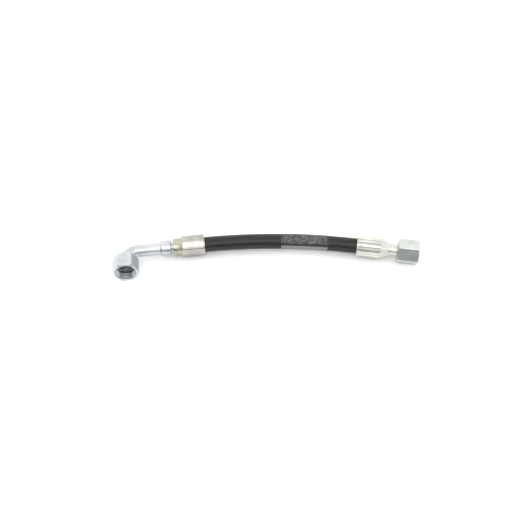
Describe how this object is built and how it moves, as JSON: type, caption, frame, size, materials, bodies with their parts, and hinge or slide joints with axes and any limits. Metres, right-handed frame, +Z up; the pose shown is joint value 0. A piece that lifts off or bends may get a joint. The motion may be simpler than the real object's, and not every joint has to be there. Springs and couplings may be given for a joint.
{
  "type": "hydraulic hose assembly",
  "caption": "Short braided hydraulic hose with crimped ferrules, a right-angle swivel elbow on one end and a straight swivel nut fitting on the other.",
  "frame": {"origin": "middle of the assembly's box, on the surface that its two nuts lie on", "axes": "+X from the elbow end to the straight end, -Y the way the elbow nut's mouth faces, +Z up"},
  "size_m": [0.2985, 0.052, 0.0222],
  "materials": {
    "liner_rubber": "satin",
    "braid_wire": "satin",
    "cover_rubber": "matte",
    "label_film": "satin",
    "chromate_ferrule": "satin",
    "zinc_tail": "gloss",
    "zinc_tube": "gloss",
    "braze_alloy": "satin",
    "zinc_seat": "satin",
    "zinc_elbow_nut": "satin",
    "spring_wire": "satin",
    "zinc_ferrule": "satin",
    "zinc_stem": "satin",
    "zinc_straight_nut": "satin"
  },
  "bodies": {
    "elbow_end": {"elbow_ferrule": "chromate_ferrule", "elbow_hose_tail": "zinc_tail", "elbow_tube": "zinc_tube", "elbow_braze_ring": "braze_alloy", "elbow_seat": "zinc_seat", "hose_liner": "liner_rubber", "hose_wire_braid": "braid_wire", "hose_cover": "cover_rubber", "hose_label": "label_film"},
    "elbow_swivel": {"elbow_nut": "zinc_elbow_nut", "elbow_nut_wire": "spring_wire"},
    "straight_end": {"straight_ferrule": "zinc_ferrule", "straight_stem": "zinc_stem"},
    "straight_swivel": {"straight_nut": "zinc_straight_nut", "straight_nut_wire": "spring_wire"}
  },
  "joints": [
    {"name": "hose_bend", "type": "hinge", "parent": "elbow_end", "child": "straight_end", "pos_m": [0.01333, 0.01843, 0.0111], "axis": [0, 0, 1], "range_deg": [-20, 28], "stiffness_Nm_per_rad": 0.8, "deforming": ["hose_liner", "hose_wire_braid", "hose_cover", "hose_label"]},
    {"name": "elbow_nut_spin", "type": "hinge", "parent": "elbow_end", "child": "elbow_swivel", "pos_m": [-0.13441, -0.02432, 0.0111], "axis": [0.1392, -0.9903, 0], "continuous": true},
    {"name": "straight_nut_spin", "type": "hinge", "parent": "straight_end", "child": "straight_swivel", "pos_m": [0.1477, 0.00483, 0.0111], "axis": [0.9903, -0.1392, 0], "continuous": true}
  ]
}
